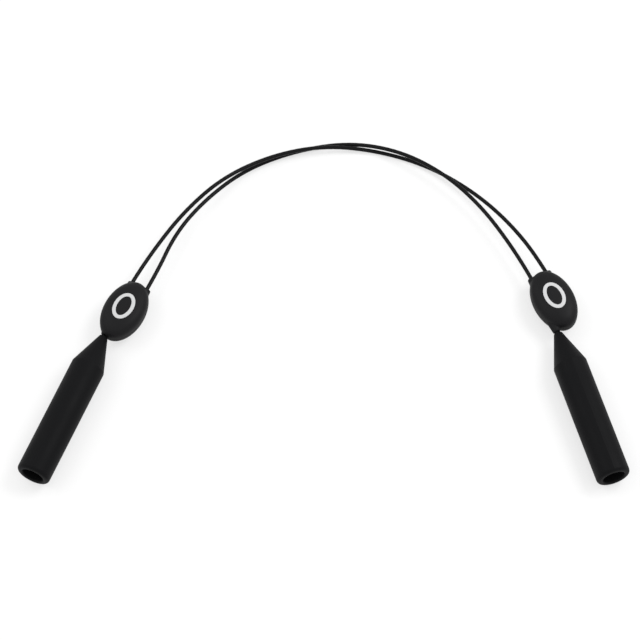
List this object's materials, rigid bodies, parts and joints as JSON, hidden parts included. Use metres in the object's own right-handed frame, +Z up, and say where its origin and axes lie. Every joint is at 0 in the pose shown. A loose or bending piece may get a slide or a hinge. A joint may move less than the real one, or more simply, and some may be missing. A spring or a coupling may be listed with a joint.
{
  "type": "eyeglass retainer strap",
  "caption": "Adjustable cable eyeglass retainer: two black coated cables slide through oval toggles and end in silicone temple grips with open bores.",
  "frame": {"origin": "on the table, under the middle of the box round the grips and sliders", "axes": "+X across the strap from the left grip to the right grip, +Y from the grips' mouths towards the cables' arc, +Z up from the table"},
  "size_m": [0.1744, 0.1137, 0.01],
  "materials": {
    "grip_silicone": "matte moulded silicone",
    "soft_touch_shell": "soft-touch coated plastic",
    "coated_cable": "satin nylon coating on wire rope",
    "liner_rubber": "plain elastomer",
    "crimp_aluminium": "crimped, unpolished",
    "stainless_steel": "stamped"
  },
  "bodies": {
    "cables": {"left_cable": "coated_cable", "right_cable": "coated_cable"},
    "left_slider": {"left_slider_top": "soft_touch_shell", "left_slider_base": "soft_touch_shell", "left_slider_liner": "liner_rubber", "left_slider_crimp": "crimp_aluminium"},
    "right_slider": {"right_slider_top": "soft_touch_shell", "right_slider_base": "soft_touch_shell", "right_slider_liner": "liner_rubber", "right_slider_crimp": "crimp_aluminium"},
    "left_end": {"left_grip_crimp": "crimp_aluminium", "left_grip_washer": "stainless_steel"},
    "left_grip": {"left_grip": "grip_silicone"},
    "right_end": {"right_grip_crimp": "crimp_aluminium", "right_grip_washer": "stainless_steel"},
    "right_grip": {"right_grip": "grip_silicone"}
  },
  "joints": [
    {"name": "left_slider_travel", "type": "hinge", "parent": "cables", "child": "left_slider", "pos_m": [0.07687, -0.04009, 0.005], "axis": [0, 0, -1], "range_deg": [0, 15.28], "deforming": ["left_cable", "right_cable"]},
    {"name": "right_slider_travel", "type": "hinge", "parent": "cables", "child": "right_slider", "pos_m": [-0.07421, -0.0343, 0.005], "axis": [0, 0, 1], "range_deg": [0, 15.29]},
    {"name": "left_grip_travel", "type": "slide", "parent": "cables", "child": "left_end", "axis": [-0.3939, -0.9191, 0], "range_m": [0, 0.0401]},
    {"name": "right_grip_travel", "type": "slide", "parent": "cables", "child": "right_end", "axis": [0.3007, -0.9537, 0], "range_m": [0, 0.0401]},
    {"name": "left_grip_swivel", "type": "hinge", "parent": "left_end", "child": "left_grip", "pos_m": [-0.0639, 0.0117, 0.005], "axis": [-0.3939, -0.9191, 0], "continuous": true},
    {"name": "right_grip_swivel", "type": "hinge", "parent": "right_end", "child": "right_grip", "pos_m": [0.0682, 0.0128, 0.005], "axis": [0.3007, -0.9537, 0], "continuous": true}
  ],
  "couplings": [
    {"joint": "right_slider_travel", "follows": "left_slider_travel", "ratio": 1},
    {"joint": "left_grip_travel", "follows": "left_slider_travel", "m_per_rad": 0.15},
    {"joint": "right_grip_travel", "follows": "left_slider_travel", "m_per_rad": 0.15}
  ]
}
